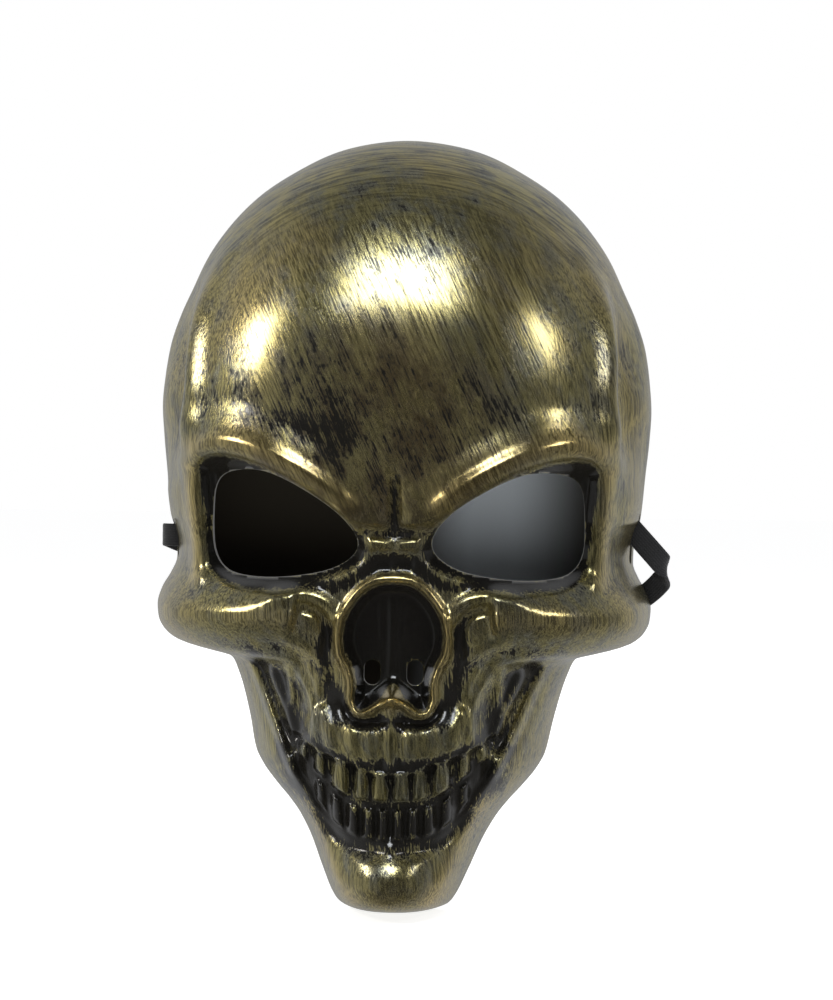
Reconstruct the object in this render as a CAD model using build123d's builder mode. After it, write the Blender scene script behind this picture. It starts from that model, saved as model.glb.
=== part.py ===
from build123d import *

import os
from bisect import bisect_right
from math import cos, exp, hypot, inf, pi, radians, sin, sqrt, tan

# Moulded skull face mask with an elastic head band.
#
# The mask stands upright as it is worn: +Z is up to the crown, the face looks along -Y and
# +X is the wearer's left, which is on the right seen from the front. The origin is midway
# between the two strap slots. All sizes are in millimetres.

# ---------------------------------------------------------------- driving dimensions

wall = 2.0  # thickness of the moulding
back_plane = 25.0  # y of the flat back of the form, before the rim is trimmed
rim_y = 9.0  # y of the rear rim beside the temples
rim_bend_z = -30.0  # below this the rim sweeps forward, through these y and z, to under the chin
rim_sweep = [(rim_y, rim_bend_z), (2.0, -62.0), (-20.0, -100.0), (-46.0, -135.0)]
beyond = 160.0  # further than the form reaches in any direction
crown_z = 139.5  # top of the form
chin_z = -126.0  # bottom of the form

# half width of the form at each height, from the chin to the crown
half_width_knots = [
    (chin_z, 15.0), (-121.0, 20.7), (-106.0, 27.6), (-96.0, 32.7), (-87.0, 40.9), (-77.0, 48.9),
    (-61.0, 53.0), (-46.0, 58.0), (-40.5, 61.0), (-37.5, 74.0), (-33.5, 83.5), (-26.0, 86.0), (-18.0, 84.2),
    (-9.0, 79.5), (3.0, 82.0), (22.0, 84.6), (43.5, 86.4), (65.0, 84.3), (86.0, 76.0), (107.0, 64.6),
    (118.0, 55.0), (128.5, 40.5), (134.0, 30.0), (137.5, 19.0), (crown_z, 6.0),
]  # fmt: skip

# y of the face on the middle plane, without its raised and sunk features
profile_knots = [
    (chin_z, -68.0), (-121.0, -77.0), (-110.0, -80.0), (-97.0, -76.0), (-80.0, -81.0), (-60.0, -80.0),
    (-30.0, -75.0), (0.0, -77.0), (22.0, -81.0), (45.0, -81.0), (70.0, -75.5), (90.0, -67.0),
    (107.0, -55.5), (118.0, -45.0), (128.5, -30.0), (134.0, -18.0), (137.5, -7.0), (crown_z, 4.0),
]  # fmt: skip

# how square the horizontal section is at each height: 2 is an ellipse
squareness_knots = [
    (chin_z, 2.2), (-80.0, 2.1), (-45.0, 2.2), (-25.0, 2.5), (20.0, 2.5), (80.0, 2.3), (crown_z, 2.2),
]  # fmt: skip

eye_hole = [
    (63.5, 10.0), (60.0, 20.5), (48.0, 23.5), (32.5, 18.5), (20.0, 10.5), (12.2, 0.0),
    (17.0, -8.0), (33.0, -12.2), (50.0, -13.2), (61.0, -9.0),
]  # fmt: skip
nostril_x, nostril_z = 7.2, -44.2  # centre of the nostril holes
nostril_width, nostril_height = 5.6, 8.4

slot_height = 18.0  # strap slot in each side wall, centred on the origin's level
slot_width = 4.0

band_width = 8.0  # elastic band
band_thickness = 1.0
band_level = -1.0  # the band's middle where it passes through the slots
layer_step = 1.3  # between the middles of two layers that are sewn together
lap_step = 1.8  # between the loop and the swinging band, which turns against it
thread_height = 0.5  # the bar of thread stands this far off the band
thread_bar = 1.6  # width of a bar of thread
thread_spacing = 3.6  # between the two bars of a tack
tack_half_length = 0.42 * band_width

# each loop lies on a slope that runs down and back from its slot
left_slope, right_slope = 20.0, 50.0  # degrees below the level
left_layer_x, right_layer_x = -69.0, 77.0  # middle of the two sewn layers
left_lap, right_lap = 21.5, 30.5  # from the origin along the slope to the middle of the sewn lap
lap_half = 4.6  # the layers lie together this far each side of it
band_tail = 3.4  # the band runs on this far above the hinge line


# ---------------------------------------------------------------- form of the face


def smooth_curve(knots):
    """A function that passes through the knots without overshooting between them."""
    places = [k[0] for k in knots]
    values = [k[1] for k in knots]
    steps = [b - a for a, b in zip(places, places[1:])]
    rises = [(b - a) / h for a, b, h in zip(values, values[1:], steps)]
    slopes = [rises[0]]
    for before, after in zip(rises, rises[1:]):
        slopes.append(2 * before * after / (before + after) if before * after > 0 else 0.0)
    slopes.append(rises[-1])

    def value(place):
        place = min(max(place, places[0]), places[-1])
        i = min(bisect_right(places, place) - 1, len(steps) - 1)
        h = steps[i]
        t = (place - places[i]) / h
        start, end = (1 + 2 * t) * (1 - t) ** 2, t * t * (3 - 2 * t)
        lead, trail = t * (1 - t) ** 2 * h, t * t * (t - 1) * h
        return start * values[i] + end * values[i + 1] + lead * slopes[i] + trail * slopes[i + 1]

    return value


half_width = smooth_curve(half_width_knots)
profile = smooth_curve(profile_knots)
squareness = smooth_curve(squareness_knots)


def swell(x, z, at, size, turn=0.0):
    """A rounded mound of height 1 at a place, turned by some degrees."""
    c, s = cos(radians(turn)), sin(radians(turn))
    u, v = x - at[0], z - at[1]
    return exp(-(((u * c + v * s) / size[0]) ** 2) - ((v * c - u * s) / size[1]) ** 2)


def ridge(x, z, path, radius):
    """A rounded ridge of height 1 along straight runs."""
    nearest = inf
    for (ax, az), (bx, bz) in zip(path, path[1:]):
        run_x, run_z = bx - ax, bz - az
        t = ((x - ax) * run_x + (z - az) * run_z) / (run_x**2 + run_z**2)
        t = min(max(t, 0.0), 1.0)
        nearest = min(nearest, hypot(x - ax - t * run_x, z - az - t * run_z))
    return exp(-((nearest / radius) ** 2))


def basin(x, z, at, size, turn, edge):
    """A flat-bottomed hollow of depth 1 with soft sides, on a turned oval."""
    c, s = cos(radians(turn)), sin(radians(turn))
    u, v = x - at[0], z - at[1]
    out = hypot((u * c + v * s) / size[0], (v * c - u * s) / size[1])
    t = min(max((1 - out) / edge + 0.5, 0), 1)
    return t * t * (3 - 2 * t)


def relief(x, z):
    """How far the features of the skull stand out from the plain form, on one side or the other."""
    a = abs(x)
    raised = 4.5 * ridge(a, z, [(12, 6), (30, 18), (56, 30), (70, 27)], 8.0)  # brow
    raised += 5.0 * ridge(a, z, [(84, -25), (60, -26), (30, -24), (22, -18)], 9.0)  # cheekbone
    raised += 3.0 * ridge(a, z, [(71, 85), (73, 40), (72, 10)], 6.0)  # temple line
    raised += 5.0 * ridge(a, z, [(0, -10), (14, -26), (17, -45), (11, -57)], 6.0)  # nasal rim
    raised += 4.0 * swell(a, z, (0, -66), (34, 9))  # upper gum
    raised += 3.0 * swell(a, z, (0, -80), (30, 9))  # teeth
    raised += 5.0 * swell(a, z, (0, -113), (20, 9))  # chin
    sunk = 13.0 * basin(a, z, (39, 4), (31, 22), 14, 0.42)  # eye socket
    sunk += 11.0 * basin(a, z, (0, -36), (13, 22), 0, 0.5)  # nasal cavity
    sunk += 12.0 * swell(a, z, (49, -56), (14, 16))  # hollow of the cheek
    sunk += 3.0 * ridge(a, z, [(0, -96), (30, -92)], 5.0)  # under the lower teeth
    sunk += 3.5 * swell(a, z, (80, 45), (6, 40))  # temple
    return raised - sunk


def face_y(x, z):
    """y of the outer face at a place seen from the front, or the back plane beside the form."""
    w, n = half_width(z), squareness(z)
    inside = 1 - (abs(x) / w) ** n
    if inside <= 0 or not chin_z <= z <= crown_z:
        return back_plane
    roundness = inside ** (1 / n)
    fade = min(1.0, 1.6 * roundness)  # the features die out on the side walls
    return back_plane - (back_plane - profile(z)) * roundness - relief(x, z) * fade


# places around a point at which a ball of the wall's radius touches the outer face
spokes = 12
ball = [(0.0, 0.0)] + [
    (share * wall * cos(2 * pi * k / spokes), share * wall * sin(2 * pi * k / spokes))
    for share in (0.6, 0.999)
    for k in range(spokes)
]


narrowest = 1.5  # half width of the inner form where it closes


def inner_half_width(z):
    """Half width of the inner form, the wall's thickness inside the outline."""
    steps = [wall * k / spokes for k in range(-spokes, spokes + 1)]
    return max(min(half_width(z + dz) - sqrt(wall**2 - dz**2) for dz in steps), narrowest)


def inner_y(x, z):
    """y of the inner face, the wall's thickness behind the outer one."""
    return min(max(face_y(x + dx, z + dz) + sqrt(wall**2 - dx**2 - dz**2) for dx, dz in ball), back_plane)


columns = 19  # points across each section
row_step = 6.0  # between sections
dome_z = 66.0  # where the sections begin to close in


def heights(bottom, top):
    """Levels of the sections, evenly spaced up to the dome and closing in towards its top."""
    lower = round((dome_z - bottom) / row_step)
    upper = round(pi / 2 * (top - dome_z) / row_step)
    straight = [bottom + (dome_z - bottom) * k / lower for k in range(lower)]
    return straight + [dome_z + (top - dome_z) * sin(pi / 2 * k / upper) for k in range(upper + 1)]


def section(width_at, y_at, z):
    """Points of the horizontal section at a level, from the right back edge round the face."""
    w, n = width_at(z), squareness(z)
    across = [cos(pi * k / (columns - 1)) for k in range(1, columns - 1)]
    xs = [-w * abs(c) ** (2 / n) * (1 if c > 0 else -1) for c in across]
    ys = [min(y_at(x, z), back_plane - w + abs(x)) for x in xs]
    return [(-w, back_plane), *zip(xs, ys), (w, back_plane)]


# ---------------------------------------------------------------- face shell

with BuildPart() as face_shell:
    for z in heights(chin_z, crown_z):
        with BuildSketch(Plane.XY.offset(z)):
            with BuildLine():
                front = Spline(*section(half_width, face_y, z))
                Line(front @ 1, front @ 0)
            make_face()
    loft(ruled=True)
    for z in heights(chin_z + wall, crown_z - wall):
        with BuildSketch(Plane.XY.offset(z)):
            with BuildLine():
                front = Spline(*section(inner_half_width, inner_y, z))
                Line(front @ 1, front @ 0)
            make_face()
    loft(ruled=True, mode=Mode.SUBTRACT)
    # the rear rim is flat beside the temples and sweeps forward under the jaw
    with BuildSketch(Plane.YZ):
        with BuildLine():
            Line((rim_y, beyond), (rim_y, rim_bend_z))
            under_jaw = Spline(*rim_sweep, tangents=[(0, -1), (-0.55, -1)])
            Polyline(under_jaw @ 1, (beyond, rim_sweep[-1][1]), (beyond, beyond), (rim_y, beyond))
        make_face()
    extrude(amount=beyond, both=True, mode=Mode.SUBTRACT)
    # eye openings
    with BuildSketch(Plane.XZ):
        with BuildLine():
            Spline(*eye_hole, periodic=True)
        make_face()
        mirror(about=Plane.YZ)
    extrude(amount=beyond, mode=Mode.SUBTRACT)
    # nostril holes
    with BuildSketch(Plane.XZ):
        with Locations((nostril_x, nostril_z), (-nostril_x, nostril_z)):
            SlotCenterToCenter(nostril_height - nostril_width, nostril_width, rotation=90)
    extrude(amount=beyond, mode=Mode.SUBTRACT)
    # strap slots through the side walls
    with BuildSketch(Plane.YZ):
        SlotOverall(slot_height, slot_width, rotation=90)
    extrude(amount=beyond, both=True, mode=Mode.SUBTRACT)
face_shell.part.label = "face_shell"

# ---------------------------------------------------------------- loops of the elastic band


def slope_plane(degrees):
    """The plane through the slots that holds the x axis and slopes down and back."""
    return Plane(
        origin=(0, 0, band_level), x_dir=(1, 0, 0), z_dir=(0, sin(radians(degrees)), cos(radians(degrees)))
    )


def on_slope(degrees, x, along):
    """A place on that plane in the part's frame."""
    return Vector(x, along * cos(radians(degrees)), band_level - along * sin(radians(degrees)))


# the routes run from the inner layer of the lap, forward inside the wall, out through the
# slot, and back round the rear edge to the outer layer
left_route = [
    (left_layer_x + layer_step / 2, left_lap + lap_half),
    (left_layer_x + layer_step / 2, left_lap - lap_half),
    (-75.6, 7.0),
    (-75.6, 0.0),
    (-86.2, 0.0),
    (-87.4, 4.5),
    (-86.0, 12.5),
    (left_layer_x - layer_step / 2, left_lap - lap_half),
    (left_layer_x - layer_step / 2, left_lap + lap_half),
]
right_route = [
    (right_layer_x - layer_step / 2, right_lap + lap_half),
    (right_layer_x - layer_step / 2, right_lap - lap_half),
    (75.4, 11.0),
    (75.4, 0.0),
    (86.5, 0.0),
    (94.0, 6.5),
    (94.6, 17.0),
    (91.0, 24.5),
    (right_layer_x + layer_step / 2, right_lap - lap_half),
    (right_layer_x + layer_step / 2, right_lap + lap_half),
]

with BuildPart() as loop_left:
    with BuildSketch(slope_plane(left_slope)):
        with BuildLine():
            FilletPolyline(*left_route, radius=1.4)
        trace(line_width=band_thickness)
    extrude(amount=band_width / 2, dir=(0, 0, 1), both=True)
loop_left.part.label = "loop_left"

with BuildPart() as loop_right:
    with BuildSketch(slope_plane(right_slope)):
        with BuildLine():
            FilletPolyline(*right_route, radius=2.0)
        trace(line_width=band_thickness)
    extrude(amount=band_width / 2, dir=(0, 0, 1), both=True)
loop_right.part.label = "loop_right"

# ---------------------------------------------------------------- bars of thread that sew the laps

with BuildPart() as bar_tack_left:
    with BuildSketch(slope_plane(left_slope)):
        with Locations((left_layer_x - layer_step / 2 - (band_thickness + thread_height) / 2, left_lap)):
            with GridLocations(0, thread_spacing, 1, 2):
                Rectangle(thread_height, thread_bar)
    extrude(amount=tack_half_length, dir=(0, 0, 1), both=True)
bar_tack_left.part.label = "bar_tack_left"

with BuildPart() as bar_tack_right:
    with BuildSketch(slope_plane(right_slope)):
        with Locations((right_layer_x + layer_step / 2 + (band_thickness + thread_height) / 2, right_lap)):
            with GridLocations(0, thread_spacing, 1, 2):
                Rectangle(thread_height, thread_bar)
    extrude(amount=tack_half_length, dir=(0, 0, 1), both=True)
bar_tack_right.part.label = "bar_tack_right"

# ---------------------------------------------------------------- the band behind the head

left_end = on_slope(left_slope, left_layer_x + layer_step / 2 + lap_step, left_lap)
right_end = on_slope(right_slope, right_layer_x - layer_step / 2 - lap_step, right_lap)

# the band hangs in a slack curve between its two sewn ends: x and z
band_route = [
    (left_end.X, left_end.Z + band_tail),
    (left_end.X, left_end.Z - 9.0),
    (-59.0, -35.0),
    (-42.0, -51.0),
    (-18.0, -62.0),
    (8.0, -64.5),
    (33.0, -58.5),
    (54.0, -46.5),
    (right_end.X - 2.0, right_end.Z - 9.5),
    (right_end.X, right_end.Z + band_tail),
]


def bend_radii(route):
    """The largest radius that fits each corner of a route."""
    corners = [Vector(*p) for p in route]
    radii = []
    for before, corner, after in zip(corners, corners[1:], corners[2:]):
        turn = radians((corner - before).get_angle(after - corner))
        radii.append(0.45 * min((corner - before).length, (after - corner).length) / tan(turn / 2))
    return radii


with BuildPart() as elastic_strap:
    with BuildSketch(Plane.XZ.offset(-(left_end.Y + right_end.Y) / 2)):
        with BuildLine() as band_line:
            FilletPolyline(*band_route, radius=bend_radii(band_route))
        trace(line_width=band_thickness)
    extrude(amount=band_width / 2, both=True)
elastic_strap.part.label = "elastic_strap"

band_length = sum(edge.length for edge in band_line.edges())
print("band length", round(band_length, 1))

# ---------------------------------------------------------------- files

os.makedirs("parts", exist_ok=True)
for piece in (face_shell, elastic_strap, loop_left, loop_right, bar_tack_left, bar_tack_right):
    export_step(piece.part, f"parts/{piece.part.label}.step")
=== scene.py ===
"""Skull face mask with an elastic head band: the visible model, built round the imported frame."""

import logging
import math
from collections.abc import Callable, Sequence
from dataclasses import dataclass
from enum import Enum

import bmesh
import bpy
import numpy as np
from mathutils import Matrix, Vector


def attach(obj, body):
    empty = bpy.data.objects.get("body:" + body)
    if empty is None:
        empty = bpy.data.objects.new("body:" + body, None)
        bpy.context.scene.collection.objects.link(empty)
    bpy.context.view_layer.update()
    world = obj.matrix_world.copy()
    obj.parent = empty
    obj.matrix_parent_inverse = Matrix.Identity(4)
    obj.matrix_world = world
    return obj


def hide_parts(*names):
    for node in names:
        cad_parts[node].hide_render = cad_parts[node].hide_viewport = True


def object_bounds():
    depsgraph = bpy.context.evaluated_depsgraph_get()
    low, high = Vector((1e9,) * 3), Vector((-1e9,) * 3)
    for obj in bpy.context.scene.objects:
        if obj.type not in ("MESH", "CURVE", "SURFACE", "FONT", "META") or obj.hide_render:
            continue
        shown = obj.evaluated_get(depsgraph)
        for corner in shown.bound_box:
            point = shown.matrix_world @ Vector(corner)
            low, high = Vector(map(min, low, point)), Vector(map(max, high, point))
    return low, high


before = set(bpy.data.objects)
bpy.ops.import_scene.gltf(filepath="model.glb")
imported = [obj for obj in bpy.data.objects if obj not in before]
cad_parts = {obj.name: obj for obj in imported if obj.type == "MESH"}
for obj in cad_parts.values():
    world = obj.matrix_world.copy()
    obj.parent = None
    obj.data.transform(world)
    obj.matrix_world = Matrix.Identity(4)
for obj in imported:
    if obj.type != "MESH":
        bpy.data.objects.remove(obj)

log = logging.getLogger("skull_mask")
logging.basicConfig(level=logging.INFO, format="%(name)s: %(message)s")

CAD_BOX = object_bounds()
MM = 0.001

SENSOR_HEIGHT = 24.0
LENS_PER_HEIGHT = 3.076
CAMERA_TURN = 2.2  # degrees towards the wearer's left
CAMERA_LIFT = 1.0  # degrees above the level
CAMERA_ROLL = 0.8  # degrees
CAMERA_DISTANCE = 1.1
CAMERA_AIM = (0.0043, 0.0, 0.0127)
LIGHT_AIM = (0, -0.03, 0.02)
FLOOR_SIZE = 12.0
FLOOR_GAP = 0.0003

Knots = Sequence[tuple[float, float]]
Field = np.ndarray
Socket = bpy.types.NodeSocket
Colour = tuple[float, float, float, float]


class Skin(Enum):
    """The three surfaces of the moulding, by material slot."""

    PAINTED = 0
    INSIDE = 1
    CUT_EDGE = 2


# ---------------------------------------------------------------- curves and relief


def smooth_curve(knots: Knots) -> Callable[[Field], Field]:
    """A function through the knots that doesn't overshoot between them.

    Args:
        knots: places and values, by rising place.

    Returns:
        A function of an array of places.
    """
    place, value = (np.array(c, float) for c in zip(*knots))
    step = np.diff(place)
    rise = np.diff(value) / step
    slope = np.concatenate([[rise[0]], np.zeros(len(rise) - 1), [rise[-1]]])
    same = rise[:-1] * rise[1:] > 0
    slope[1:-1][same] = (2 * rise[:-1] * rise[1:] / np.where(same, rise[:-1] + rise[1:], 1))[same]

    def at(where: Field) -> Field:
        """The value at each place."""
        where = np.clip(where, place[0], place[-1])
        i = np.clip(np.searchsorted(place, where, side="right") - 1, 0, len(step) - 1)
        h = step[i]
        t = (where - place[i]) / h
        ends = (1 + 2 * t) * (1 - t) ** 2 * value[i] + t * t * (3 - 2 * t) * value[i + 1]
        return ends + t * (1 - t) ** 2 * h * slope[i] + t * t * (t - 1) * h * slope[i + 1]

    return at


def ease(t: Field) -> Field:
    """A soft step from 0 to 1."""
    t = np.clip(t, 0.0, 1.0)
    return t * t * (3 - 2 * t)


def flowing(points: Sequence[tuple[float, ...]], count: int) -> Field:
    """Points evenly spread in parameter on a smooth line through a few points."""
    p = np.array(points, float)
    p = np.vstack([2 * p[0] - p[1], p, 2 * p[-1] - p[-2]])
    t = np.linspace(0, len(points) - 1 - 1e-9, count)
    i = t.astype(int)
    f = (t - i)[:, None]
    a, b, c, d = p[i], p[i + 1], p[i + 2], p[i + 3]
    return 0.5 * (2 * b + (c - a) * f + (2 * a - 5 * b + 4 * c - d) * f**2 + (3 * b - a - 3 * c + d) * f**3)


def nearest(x: Field, z: Field, line: Field) -> tuple[Field, Field]:
    """Distance to a line of runs, and how far along it the nearest place is, from 0 to 1."""
    best = np.full(x.shape, 1e9)
    along = np.zeros(x.shape)
    count = len(line) - 1
    for k in range(count):
        (ax, az), (bx, bz) = line[k], line[k + 1]
        dx, dz = bx - ax, bz - az
        t = np.clip(((x - ax) * dx + (z - az) * dz) / max(dx * dx + dz * dz, 1e-9), 0, 1)
        d = (x - ax - t * dx) ** 2 + (z - az - t * dz) ** 2
        closer = d < best
        best = np.where(closer, d, best)
        along = np.where(closer, (k + t) / count, along)
    return np.sqrt(best), along


def ridge(x: Field, z: Field, path: Sequence[tuple[float, float]], width: float, fade: float = 0.15) -> Field:
    """A rounded ridge of height 1 along a smooth path, sinking away at its ends.

    Args:
        x, z: places seen from the front.
        path: a few points that the ridge flows through.
        width: half of its width at the foot.
        fade: the share of its length over which each end sinks.
    """
    d, along = nearest(x, z, flowing(path, 6 * len(path)))
    ends = ease(np.minimum(along, 1 - along) / fade) if fade else 1.0
    return (0.5 + 0.5 * np.cos(np.pi * np.clip(d / width, 0, 1))) * (0.25 + 0.75 * ends if fade else 1.0)


def swell(x: Field, z: Field, at: tuple[float, float], size: tuple[float, float]) -> Field:
    """A rounded mound of height 1."""
    return np.exp(-(((x - at[0]) / size[0]) ** 2) - ((z - at[1]) / size[1]) ** 2)


def inside(x: Field, z: Field, outline: Field) -> Field:
    """Distance inside a closed outline, negative outside it."""
    d, _ = nearest(x, z, np.vstack([outline, outline[:1]]))
    hits = np.zeros(x.shape, bool)
    for (ax, az), (bx, bz) in zip(outline, np.roll(outline, -1, axis=0)):
        crosses = (az > z) != (bz > z)
        run = (bx - ax) * (z - az) / (bz - az if bz != az else 1e-9) + ax
        hits ^= crosses & (x < run)
    return np.where(hits, d, -d)


def rounded(points: Sequence[tuple[float, float]], count: int = 64) -> Field:
    """A closed smooth outline through a few points."""
    p = list(points)
    ring = flowing([p[-1], *p, p[0], p[1]], count + 1)
    n = len(p) + 2
    t = np.linspace(0, n, count + 1)
    keep = (t >= 1) & (t <= n - 1)
    return ring[keep][:-1]


# ---------------------------------------------------------------- the moulding


@dataclass
class FaceShell:
    """The moulded skull face: one wall, raised and sunk into a skull, open at the back."""

    wall: float = 1.9
    rim_y: float = 9.0
    back_plane: float = 25.0
    rows: int = 301
    columns: int = 251
    outline_knots: Knots = (
        (-127.0, 0.0), (-126.6, 15.0), (-125.4, 18.6), (-122.8, 21.0), (-115.2, 25.0), (-105.1, 29.8),
        (-97.4, 34.5), (-92.2, 38.8), (-86.9, 43.9), (-81.6, 48.4), (-76.2, 51.5), (-65.2, 54.3),
        (-54.0, 57.5), (-48.4, 59.6), (-44.8, 61.3), (-42.7, 63.4), (-41.2, 68.5), (-39.5, 76.4),
        (-37.4, 82.8),
        (-34.0, 86.6), (-30.0, 88.4), (-25.2, 88.8), (-19.7, 87.3), (-14.3, 84.2), (-9.0, 82.2), (-3.0, 82.4),
        (7.3, 84.7), (23.5, 86.3), (34.3, 87.4), (45.0, 88.0), (56.0, 87.2), (66.8, 85.6), (77.6, 82.2),
        (88.4, 77.4), (99.2, 72.3), (110.0, 64.9), (120.4, 55.0), (131.1, 39.2), (137.6, 25.4), (141.4, 0.0),
    )  # fmt: skip
    profile_knots: Knots = (
        (-127.0, -47.0), (-126.2, -60.0), (-124.0, -71.0), (-120.0, -77.0), (-112.0, -80.5), (-103.0, -78.5),
        (-96.0, -78.5), (-80.0, -81.5), (-60.0, -80.5), (-30.0, -76.5), (-8.0, -76.0), (10.0, -79.5),
        (30.0, -82.0), (48.0, -81.0), (70.0, -76.0), (90.0, -67.5), (107.0, -57.0), (119.0, -46.0),
        (130.0, -31.0), (136.0, -19.0), (141.4, 9.0),
    )  # fmt: skip
    squareness_knots: Knots = (
        (-127.0, 2.3), (-100.0, 2.2), (-80.0, 2.1), (-45.0, 2.2), (-25.0, 2.5), (20.0, 2.5), (80.0, 2.3),
        (141.4, 2.2),
    )
    rim_knots: Knots = (
        (-127.0, -42.0), (-115.0, -33.0), (-100.0, -21.0), (-80.0, -8.0), (-62.0, 2.0), (-38.0, 8.6),
        (-30.0, 9.0),
    )  # fmt: skip
    eye_hole: Sequence[tuple[float, float]] = (
        (63.7, 9.0), (62.5, 18.0), (58.0, 22.3), (48.0, 23.4), (39.0, 21.3), (27.5, 15.4), (18.5, 9.0),
        (12.8, 1.5), (13.8, -4.6), (22.0, -9.8), (36.0, -12.6), (50.0, -13.0), (59.0, -10.8), (63.4, -4.0),
    )  # fmt: skip
    socket_edge: Sequence[tuple[float, float]] = (
        (69, 18), (68.5, 25.5), (62, 28.6), (53, 27.8), (43, 24.4), (32.5, 19), (24, 13.4), (16, 7.6),
        (10, 2.0),
        (8.6, -3.5), (12, -9), (21, -12.8), (32, -15.6), (46, -17), (58, -16), (65, -11), (67, -2), (68, 8),
    )  # fmt: skip
    nose_rim: Sequence[tuple[float, float]] = (
        (0, -12.4), (4.6, -12.7), (9, -14.6), (13.2, -18.6), (16.8, -24.4), (18.4, -31), (17.8, -37.4),
        (15.4, -42.6), (14, -47.4), (14, -53), (12.2, -56.6), (8.6, -57), (5, -54.8), (1.6, -52.4),
        (0, -52.0),
    )  # fmt: skip
    nostril: tuple[float, float] = (7.2, -44.2)
    nostril_size: tuple[float, float] = (5.6, 8.6)
    slot_size: tuple[float, float] = (4.0, 18.0)

    def base(self) -> tuple[Field, Field, Field]:
        """The plain form on a grid from the chin to the crown and from one edge of the rim to the other.

        Returns:
            x, y and z of the grid, in millimetres.
        """
        bottom, top = self.outline_knots[0][0], self.outline_knots[-1][0]
        width_squared = smooth_curve([(z, w * w) for z, w in self.outline_knots])
        rim_at = smooth_curve(self.rim_knots)
        depths = [(z, float(rim_at(np.array(z))) - y) for z, y in self.profile_knots]
        depth_squared = smooth_curve([(z, depth**2) for z, depth in depths])
        fine = bottom + (top - bottom) * (0.5 - 0.5 * np.cos(np.linspace(0, np.pi, 6001)))
        front = rim_at(fine) - np.sqrt(np.maximum(depth_squared(fine), 0))
        crowding = 0.7 + 0.75 * ease((36 - fine) / 14) + 0.75 * ease((-46 - fine) / 8)
        crowding = crowding - 1.1 * ease((-108 - fine) / 8)
        run = np.hypot(np.diff(fine), np.diff(front)) * (crowding[1:] + crowding[:-1]) / 2
        travel = np.concatenate([[0], np.cumsum(run)])
        trim = 0.0001 * travel[-1]
        level = np.interp(np.linspace(trim, travel[-1] - trim, self.rows), travel, fine)

        rim = rim_at(level)
        face = rim - np.sqrt(np.maximum(depth_squared(level), 0))
        n = smooth_curve(self.squareness_knots)(level)
        reach = np.arccos(np.clip(((self.back_plane - rim) / (self.back_plane - face)) ** (n / 2), 0, 1))
        width = np.sqrt(np.maximum(width_squared(level), 0)) / np.sin(reach) ** (2 / n)
        turn = np.linspace(-1, 1, 1601)[None, :] * reach[:, None]
        x = width[:, None] * np.sign(turn) * np.abs(np.sin(turn)) ** (2 / n[:, None])
        y = self.back_plane - (self.back_plane - face)[:, None] * np.cos(turn) ** (2 / n[:, None])
        density = 0.62 + 0.9 * ease((62 - np.abs(x)) / 20)
        run = np.hypot(np.diff(x, axis=1), np.diff(y, axis=1)) * (density[:, 1:] + density[:, :-1]) / 2
        travel = np.concatenate([np.zeros((len(level), 1)), np.cumsum(run, axis=1)], axis=1)
        share = np.linspace(0, 1, self.columns)
        xs = np.stack([np.interp(share * t[-1], t, row) for t, row in zip(travel, x)])
        ys = np.stack([np.interp(share * t[-1], t, row) for t, row in zip(travel, y)])
        return xs, ys, np.repeat(level[:, None], self.columns, axis=1)

    def sockets(self, a: Field, z: Field) -> Field:
        """Brow, rim and hollow of each eye.

        Args:
            a: distance from the middle, seen from the front, in millimetres.
            z: height, in millimetres.

        Returns:
            Height forward of the plain form.
        """
        high = 4.4 * ridge(a, z, [(8, 8), (22, 18.5), (36, 27.5), (52, 33.0), (66, 33.5), (76, 31)], 14.0)
        lid = [(7, 5), (15, 11.5), (26, 19.5), (40, 27), (53, 31.5), (63, 32), (70, 28), (72.5, 21)]
        high += 2.9 * ridge(a, z, lid, 5.6)
        high += 3.6 * ridge(a, z, [(72.5, 23), (71.5, 12), (70.5, 2), (70, -6), (69, -13), (66, -18)], 5.4)
        deep = inside(a, z, rounded(self.socket_edge))
        return high - 8.5 * ease((deep + 1.2) / 8.5) - 3.0 * ease((a - 40) / 24) * ease((deep + 0.5) / 6)

    def cheekbones(self, a: Field, z: Field) -> Field:
        """The tubes under the eyes and their inner arms beside the nose.

        Args:
            a: distance from the middle, seen from the front, in millimetres.
            z: height, in millimetres.

        Returns:
            Height forward of the plain form.
        """
        tube = [(90, -27), (76, -27), (62, -26.6), (50, -25.6), (40, -25), (31, -26)]
        high = 7.2 * ridge(a, z, tube, 13.0, 0.1)
        high += 2.2 * swell(a, z, (79, -26), (8, 8))
        high += 2.6 * ridge(a, z, [(46, -21), (36, -18.5), (27, -18.8), (20.5, -23), (19, -30)], 4.4)
        high -= 2.4 * ridge(a, z, [(33, -21.5), (25.5, -24), (22.4, -30), (22.5, -38)], 3.0)
        high += 1.9 * ridge(a, z, [(36, -33), (29, -35.5), (24.6, -41), (23, -49)], 3.0)
        high -= 1.5 * ridge(a, z, [(42, -36), (34, -38), (29, -43)], 3.2)
        return high

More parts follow.
